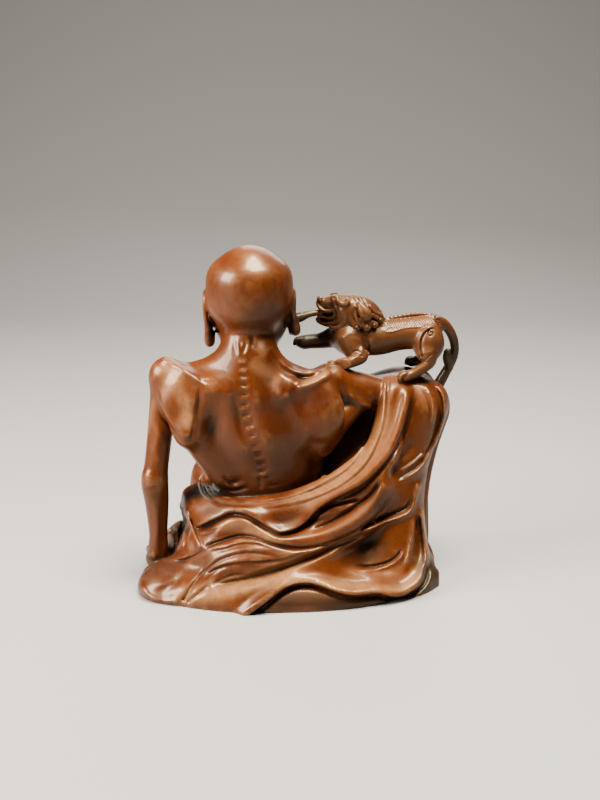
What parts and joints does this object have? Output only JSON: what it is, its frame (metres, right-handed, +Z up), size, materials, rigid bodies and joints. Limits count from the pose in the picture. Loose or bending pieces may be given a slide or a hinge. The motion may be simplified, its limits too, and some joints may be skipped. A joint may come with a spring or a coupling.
{
  "type": "carved wooden arhat statue",
  "caption": "Small carved boxwood figure of a seated bald arhat with a bare, bony back, a draped robe, and a little lion on the right shoulder; it stands on its flat underside.",
  "frame": {"origin": "on the underside, at the middle of the figure's width and depth", "axes": "+Z up, +Y the way the figure faces, +X to the figure's right, where the lion stands"},
  "size_m": [0.1446, 0.0876, 0.15],
  "materials": {
    "boxwood": "wax-polished, with a dark patina in the hollows and a rubbed sheen on the ridges"
  },
  "bodies": {
    "root": {"arhat_statue": "boxwood"}
  },
  "joints": []
}
